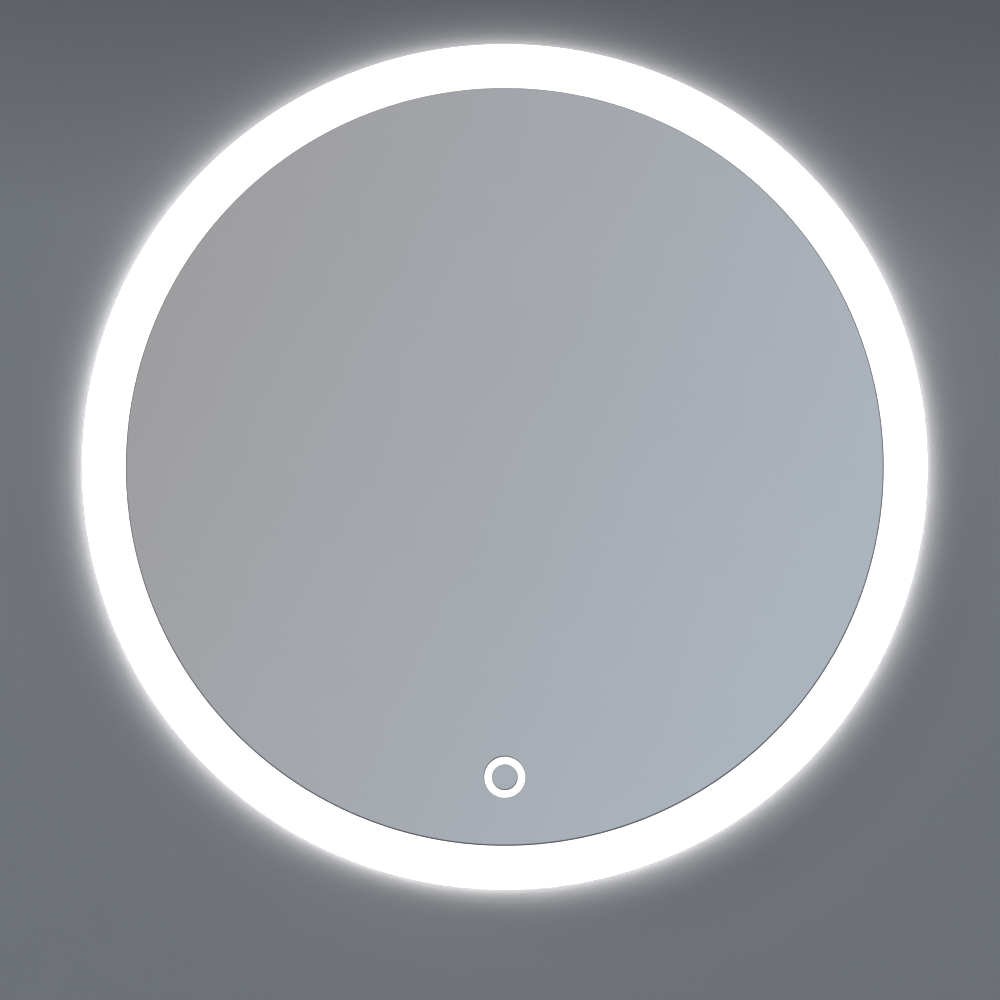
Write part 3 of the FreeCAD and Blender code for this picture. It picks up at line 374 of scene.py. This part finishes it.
# making: closed outlines turned about the mirror's axis, and flat rings
meshSet = {
    "steps": 360,  # round the mirror
    "weld": 1e-7,
    "sharpAngle": 30,
    "flatTurn": 0.9999,  # a face whose normal is this much along Y is flat
    "cornerShare": 0.45,  # of a side, the most that a rounded corner may take
}


def addPiece(name, mesh, body, slotName, finish=None):
    piece = bpy.data.objects.new(name, mesh)
    bpy.context.scene.collection.objects.link(piece)
    mesh.materials.append(finish or finishes[slotName])
    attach(piece, body)
    return piece


def isFlat(face):
    return abs(face.normal.y) >= meshSet["flatTurn"]


def smoothRounds(mesh):
    mesh.shade_smooth()
    mesh.set_sharp_from_angle(angle=math.radians(meshSet["sharpAngle"]))
    mesh.update()
    for face in mesh.polygons:
        face.use_smooth = not isFlat(face)  # a flat face shaded smooth would make the glass act as a lens


def turnedMesh(name, outline, steps=meshSet["steps"], x0=mirrorX, z0=mirrorZ):
    # outline: (radius, y) in metres, closed; turned about a line along Y
    mesh = bpy.data.meshes.new(name)
    verts, faces = [], []
    count = len(outline)
    for step in range(steps):
        turn = 2 * math.pi * step / steps
        for radius, y in outline:
            verts.append((x0 + radius * math.cos(turn), y, z0 + radius * math.sin(turn)))
    for step in range(steps):
        here, ahead = step * count, ((step + 1) % steps) * count
        for number in range(count):
            other = (number + 1) % count
            faces.append((here + number, here + other, ahead + other, ahead + number))
    mesh.from_pydata(verts, [], faces)
    work = bmesh.new()
    work.from_mesh(mesh)
    bmesh.ops.remove_doubles(work, verts=work.verts, dist=meshSet["weld"])
    bmesh.ops.recalc_face_normals(work, faces=work.faces)
    work.to_mesh(mesh)
    work.free()
    smoothRounds(mesh)
    return mesh


def eased(corners, radius, steps):
    # rounds every corner of a closed outline
    outline = []
    for number, corner in enumerate(corners):
        here = Vector(corner)
        back = Vector(corners[number - 1]) - here
        ahead = Vector(corners[(number + 1) % len(corners)]) - here
        share = meshSet["cornerShare"]
        reach = min(radius, back.length * share, ahead.length * share)
        start = here + back.normalized() * reach
        end = here + ahead.normalized() * reach
        for step in range(steps + 1):
            t = step / steps
            outline.append(tuple(start * (1 - t) ** 2 + here * 2 * t * (1 - t) + end * t * t))
    return outline


glassSet = {
    "arris": 0.6 * mm,  # the ground bevel at each rim
    "ease": 0.12 * mm,  # how much of each corner beside the bevel is rounded
    "easeSteps": 2,
    "edgeSlot": 1,
    "bevelSlot": 2,  # the front bevel catches the most light
    # the frosting on the back feeds light into the glass, which leaves by the ground edge
    "edgeLook": {"tone": (0.10, 0.30, 0.22), "second": (0.14, 0.36, 0.28), "light": (0.66, 0.93, 0.82),
                 "power": 0.72, "grain": 0.4 * mm, "sheen": (0.12, 0.22)},
}


def makeGlass():
    radius = glassHigh.x - mirrorX
    arris = glassSet["arris"]
    corners = [
        (0.0, glassFront),
        (radius - arris, glassFront),
        (radius, glassFront + arris),
        (radius, glassBack - arris),
        (radius - arris, glassBack),
        (0.0, glassBack),
    ]
    perCorner = glassSet["easeSteps"] + 1
    rounded = eased(corners, glassSet["ease"], glassSet["easeSteps"])[perCorner:-perCorner]
    # the two corners on the axis aren't rounded
    mesh = turnedMesh("mirrorGlass", [corners[0]] + rounded + [corners[-1]])
    glass = addPiece("mirrorGlass", mesh, "mirror", "clear_glass")
    mesh.materials.append(litFinish("glass_edge", glassSet["edgeLook"]))
    mesh.materials.append(finishes["frosted_glass"])
    for face in mesh.polygons:
        if isFlat(face):
            continue
        frontBevel = face.center.y < glassFront + arris
        face.material_index = glassSet["bevelSlot"] if frontBevel else glassSet["edgeSlot"]
    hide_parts("mirror_glass")


layerSet = {
    "thickness": 0.16 * mm,
    "coatGap": 0.10 * mm,  # hair gaps keep the layers on the glass apart
    "frostGap": 0.04 * mm,
    "paintedShadowGap": 0.07 * mm,
    "coatRadius": 269.3 * mm,
    "frostInner": 269.45 * mm,
    "frostOuter": 299.4 * mm,
    "paintedShadowInner": 268.75 * mm,  # a painted shadow under the coat's edge: a dark ring, seen as a thin line
    "paintedShadowOuter": 272 * mm,
    "paintedShadowUp": 0.4 * mm,  # it is set a hair high, so the painted shadow shows mostly at the bottom
    "paintedShadowLeft": 0.1 * mm,
    "paintedShadowLook": {"tone": (0.07, 0.072, 0.078), "sheen": (0.5, 0.7), "grain": 0.5 * mm},
}

iconSet = {
    "steps": 120,
    "inner": 9.45 * mm,
    "outer": 14.4 * mm,
    "shadeUp": 0.5 * mm,  # the painted shadow behind the icon is set a hair high as well
    "shadeLeft": 0.2 * mm,
    "shadeGrow": 0.3 * mm,
}

# the dark finish of the painted shadows along the coat's edge and round the touch icon
paintedShadowFinish = solidFinish("coat_edge_painted_shadow", layerSet["paintedShadowLook"])


def flatRing(name, inner, outer, front, *turning):
    back = front + layerSet["thickness"]
    return turnedMesh(name, [(inner, front), (outer, front), (outer, back), (inner, back)], *turning)


def circleVerts(work, radius, x, y, z, count):
    verts = []
    for number in range(count):
        turn = 2 * math.pi * number / count
        verts.append(work.verts.new((x + radius * math.cos(turn), y, z + radius * math.sin(turn))))
    return verts


def makeCoat():
    # the silver with the window of the touch icon cut out, and the island inside that window
    front = glassBack + layerSet["coatGap"]
    work = bmesh.new()
    rims = []
    for verts in (circleVerts(work, layerSet["coatRadius"], mirrorX, front, mirrorZ, meshSet["steps"]),
                  circleVerts(work, iconSet["outer"], iconX, front, iconZ, iconSet["steps"])):
        rims += [work.edges.new((verts[number - 1], verts[number])) for number in range(len(verts))]
    bmesh.ops.triangle_fill(work, use_beauty=True, use_dissolve=False, edges=rims)
    work.faces.new(circleVerts(work, iconSet["inner"], iconX, front, iconZ, iconSet["steps"]))
    sheet = bmesh.ops.extrude_face_region(work, geom=list(work.faces))
    moved = [item for item in sheet["geom"] if isinstance(item, bmesh.types.BMVert)]
    bmesh.ops.translate(work, verts=moved, vec=(0, layerSet["thickness"], 0))
    bmesh.ops.recalc_face_normals(work, faces=work.faces)
    mesh = bpy.data.meshes.new("silverCoat")
    work.to_mesh(mesh)
    work.free()
    coat = addPiece("silverCoat", mesh, "mirror", "silver_mirror")
    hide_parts("silver_coat")


def makeFrost():
    front = glassBack + layerSet["frostGap"]
    mesh = flatRing("frostedBand", layerSet["frostInner"], layerSet["frostOuter"], front)
    band = addPiece("frostedBand", mesh, "mirror", "frosted_glass")
    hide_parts("frosted_band")


# a dark ring under the coat's edge: a painted shadow along the inner rim of the frosted band
def makeCoatEdgeShadow():
    front = glassBack + layerSet["paintedShadowGap"]
    mesh = flatRing("coatEdgeShadowLine", layerSet["paintedShadowInner"], layerSet["paintedShadowOuter"], front, meshSet["steps"],
                    mirrorX - layerSet["paintedShadowLeft"], mirrorZ + layerSet["paintedShadowUp"])
    addPiece("coatEdgeShadowLine", mesh, "mirror", "silver_mirror", paintedShadowFinish)


def makeIcon():
    inner, outer, grow = iconSet["inner"], iconSet["outer"], iconSet["shadeGrow"]
    front = glassBack + layerSet["frostGap"]
    mesh = flatRing("touchIcon", inner, outer, front, iconSet["steps"], iconX, iconZ)
    icon = addPiece("touchIcon", mesh, "mirror", "frosted_glass")
    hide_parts("touch_icon")
    # a dark ring behind the icon, set high, left and wider: a painted shadow along its edges
    front = glassBack + layerSet["paintedShadowGap"]
    mesh = flatRing("touchIconShadowRing", inner - grow, outer + grow, front, iconSet["steps"],
                    iconX - iconSet["shadeLeft"], iconZ + iconSet["shadeUp"])
    addPiece("touchIconShadowRing", mesh, "mirror", "silver_mirror", paintedShadowFinish)


makeGlass()
makeCoat()
makeFrost()
makeCoatEdgeShadow()
makeIcon()
print("glass, coat, frosted band and touch icon made")


opalSet = {
    "outer": 298 * mm,
    "inner": 295 * mm,
    "flangeInner": 264 * mm,
    "front": -39.65 * mm,
    "flangeBack": -36.7 * mm,
    "back": -2 * mm,
    "bareFrom": -7 * mm,  # behind this the ring glows at full strength
    "edgeRound": 0.8 * mm,
    "edgeSteps": 3,
    "edgePower": 24.7,  # the bare edge is what lights the wall
    "edgeLight": (1.0, 0.905, 0.795),
    "edgeSlot": 1,
}


def makeOpal():
    corners = [
        (opalSet["flangeInner"], opalSet["front"]),
        (opalSet["outer"], opalSet["front"]),
        (opalSet["outer"], opalSet["back"]),
        (opalSet["inner"], opalSet["back"]),
        (opalSet["inner"], opalSet["flangeBack"]),
        (opalSet["flangeInner"], opalSet["flangeBack"]),
    ]
    outline = eased(corners, opalSet["edgeRound"], opalSet["edgeSteps"])
    cut = []
    for number, here in enumerate(outline):  # a point more where the bare part starts
        cut.append(here)
        after = outline[(number + 1) % len(outline)]
        low, high = sorted((here[1], after[1]))
        if low < opalSet["bareFrom"] < high:
            cut.append((here[0], opalSet["bareFrom"]))
    mesh = turnedMesh("opalRing", cut)
    ringPiece = addPiece("opalRing", mesh, "mirror", "opal_acrylic")
    edgeLook = {**litLooks["opal_acrylic"], "power": opalSet["edgePower"], "light": opalSet["edgeLight"]}
    mesh.materials.append(litFinish("opal_edge", edgeLook))
    for face in mesh.polygons:
        outward = math.hypot(face.center.x - mirrorX, face.center.z - mirrorZ) - opalSet["inner"]
        if face.center.y > opalSet["bareFrom"] and outward > opalSet["edgeRound"]:
            face.material_index = opalSet["edgeSlot"]
    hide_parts("diffuser_ring")


makeOpal()
print("opal ring made")


bandSet = {
    "inner": 298.15 * mm,
    "outer": 298.9 * mm,
    "front": -39.5 * mm,
    "back": -12 * mm,
    "hem": 0.3 * mm,
    "hemSteps": 2,
}


def makeRimBand():
    corners = [
        (bandSet["inner"], bandSet["front"]),
        (bandSet["outer"], bandSet["front"]),
        (bandSet["outer"], bandSet["back"]),
        (bandSet["inner"], bandSet["back"]),
    ]
    mesh = turnedMesh("rimBand", eased(corners, bandSet["hem"], bandSet["hemSteps"]))
    band = addPiece("rimBand", mesh, "mirror", "hoop_aluminium")
    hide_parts("rim_band")


makeRimBand()
print("rim band made")


# stage: a grey wall seen from the front alone, with painted shade darker towards the top, a pale floor, a
# plain studio, soft lamps
stageSet = {
    "wallTone": (0.152, 0.165, 0.186),
    "wallPaintedShade": 0.62,  # how much of the tone is left at the top, in painted shade
    "paintedShadeSlope": (0.08, 0, 1),  # the way the painted shade grows: upwards, and a little to the right
    "paintedShadeFrom": 0.02,
    "paintedShadeTo": 0.22,
    "wallRoughness": 0.9,
    "wallShine": 0.1,
    "wallHalfWidth": 1.3,
    "wallTop": 1.0,
    "floorTone": (0.80, 0.80, 0.79),
    "floorRoughness": 0.85,
    "floorEven": 0.8,
    "floorZ": -0.75,
    "floorReach": 14.0,
}

worldSet = {
    "ambient": (0.50, 0.50, 0.51),
    "background": (0.82, 0.825, 0.83),
    "mirroredWarm": (0.384, 0.368, 0.384),  # what the mirror sees up and to the left
    "mirroredCool": (0.464, 0.498, 0.562),  # and down to the right
    "across": 6.9,  # how fast one becomes the other, sideways and downwards
    "down": 3.2,
    "middle": 0.545,
    "behindHigh": (0.86, 0.86, 0.87),  # what the metal on the back sees above
    "behindLow": (0.34, 0.34, 0.35),  # and below
    "behindSpan": (-0.5, 0.6),  # from low to high, as the height of the way it looks
    "turnSpan": (-0.3, 0.3),  # from the mirror's side to the back's
}


def stagePlane(name, corners, finish):
    mesh = bpy.data.meshes.new(name)
    mesh.from_pydata(corners, [], [(0, 1, 2, 3)])
    mesh.materials.append(finish)
    plane = bpy.data.objects.new(name, mesh)
    bpy.context.scene.collection.objects.link(plane)
    return plane


def wallFinish():
    # a wall to a camera in front of it, with painted shade darker towards the top and a little to the
    # right; from behind, and to all other light, it isn't in the way
    finish, tree, shader = startFinish("stageWall")
    place = tree.nodes.new("ShaderNodeTexCoord")
    slope = calculated(tree, "VectorMath", "DOT_PRODUCT", place.outputs["Object"], stageSet["paintedShadeSlope"])
    # painted shade: the wall's tone is darkened towards the top and a little to the right
    paintedShadeTone = [c * stageSet["wallPaintedShade"] for c in stageSet["wallTone"]]
    factor = between(tree, slope, 0.0, 1.0, stageSet["paintedShadeFrom"], stageSet["paintedShadeTo"])
    tree.links.new(shades(tree, factor, stageSet["wallTone"], paintedShadeTone, 0.0, 1.0), shader.inputs["Base Color"])
    shader.inputs["Roughness"].default_value = stageSet["wallRoughness"]
    shader.inputs["Specular IOR Level"].default_value = stageSet["wallShine"]
    side = tree.nodes.new("ShaderNodeNewGeometry")
    path = tree.nodes.new("ShaderNodeLightPath")
    seen = calculated(tree, "Math", "GREATER_THAN",
                      path.outputs["Is Camera Ray"], side.outputs["Backfacing"])
    mixShaders(tree, seen, tree.nodes.new("ShaderNodeBsdfTransparent"), shader)
    return finish


def floorFinish():
    # the camera sees the floor as evenly pale as the backdrop, with part of its light and shadow kept
    finish, tree, shader = startFinish("stageFloor")
    shader.inputs["Base Color"].default_value = (*stageSet["floorTone"], 1)
    shader.inputs["Roughness"].default_value = stageSet["floorRoughness"]
    path = tree.nodes.new("ShaderNodeLightPath")
    share = calculated(tree, "Math", "MULTIPLY", path.outputs["Is Camera Ray"], stageSet["floorEven"])
    even = tree.nodes.new("ShaderNodeEmission")
    even.inputs["Color"].default_value = (*worldSet["background"], 1)
    mixShaders(tree, share, shader, even)
    return finish


def makeStage():
    half, top, low = stageSet["wallHalfWidth"], stageSet["wallTop"], stageSet["floorZ"]
    wallCorners = [(-half, 0, low), (half, 0, low), (half, 0, top), (-half, 0, top)]
    stagePlane("stageWall", wallCorners, wallFinish())
    reach = stageSet["floorReach"]
    floorCorners = [(-reach, -reach, low), (reach, -reach, low), (reach, reach, low), (-reach, reach, low)]
    floor = stagePlane("stageFloor", floorCorners, floorFinish())
    floor.visible_glossy = False  # the mirror shows the studio's grey, with no floor in it
    floor.visible_transmission = False


def makeWorld():
    # the camera sees the pale background, gloss and glass the studio, and everything else an even grey
    world = bpy.data.worlds.new("studio")
    bpy.context.scene.world = world
    world.use_nodes = True
    tree = world.node_tree
    tree.nodes.clear()
    output = tree.nodes.new("ShaderNodeOutputWorld")
    path = tree.nodes.new("ShaderNodeLightPath")
    place = tree.nodes.new("ShaderNodeTexCoord")
    slope = calculated(tree, "VectorMath", "DOT_PRODUCT",
                       place.outputs["Generated"], (worldSet["across"], 0, -worldSet["down"]))
    middle = worldSet["middle"]
    factor = between(tree, slope, 0.0, 1.0, -middle, 1 - middle)
    before = shades(tree, factor, worldSet["mirroredWarm"], worldSet["mirroredCool"], 0.0, 1.0)
    split = tree.nodes.new("ShaderNodeSeparateXYZ")
    tree.links.new(place.outputs["Generated"], split.inputs["Vector"])
    height = between(tree, split.outputs["Z"], 0.0, 1.0, *worldSet["behindSpan"])
    behind = shades(tree, height, worldSet["behindLow"], worldSet["behindHigh"], 0.0, 1.0)
    turned = between(tree, split.outputs["Y"], 0.0, 1.0, *worldSet["turnSpan"])
    mirrored = mixColours(tree, turned, before, behind)
    shinyRay = calculated(tree, "Math", "MAXIMUM",
                          path.outputs["Is Glossy Ray"], path.outputs["Is Transmission Ray"])
    unseen = mixColours(tree, shinyRay, worldSet["ambient"], mirrored)
    seen = mixColours(tree, path.outputs["Is Camera Ray"], unseen, worldSet["background"])
    shine = tree.nodes.new("ShaderNodeBackground")
    tree.links.new(seen, shine.inputs["Color"])
    tree.links.new(shine.outputs[0], output.inputs["Surface"])


lampSet = {  # place, size, power in watts
    "keyLamp": ((-2.2, -3.0, 2.0), 2.0, 60),
    "fillLamp": ((2.6, -2.6, 0.8), 2.0, 32),
    "backLampLeft": ((-2.4, 2.2, 2.0), 1.4, 75),
    "backLampRight": ((2.4, 2.2, 0.9), 1.8, 10),
}


def makeLamps():
    for name, (place, size, power) in lampSet.items():
        lampData = bpy.data.lights.new(name, "AREA")
        lampData.shape = "DISK"
        lampData.size = size
        lampData.energy = power
        lamp = bpy.data.objects.new(name, lampData)
        bpy.context.scene.collection.objects.link(lamp)
        lamp.location = place
        aim = Vector((mirrorX, 0, mirrorZ)) - Vector(place)
        lamp.rotation_euler = aim.to_track_quat("-Z", "Y").to_euler()
        lamp.visible_camera = False
        lamp.visible_transmission = False  # the glass shows the studio, not the lamps


makeStage()
makeWorld()
makeLamps()
bpy.context.scene.view_settings.view_transform = "Standard"
print("stage, world and lamps set")
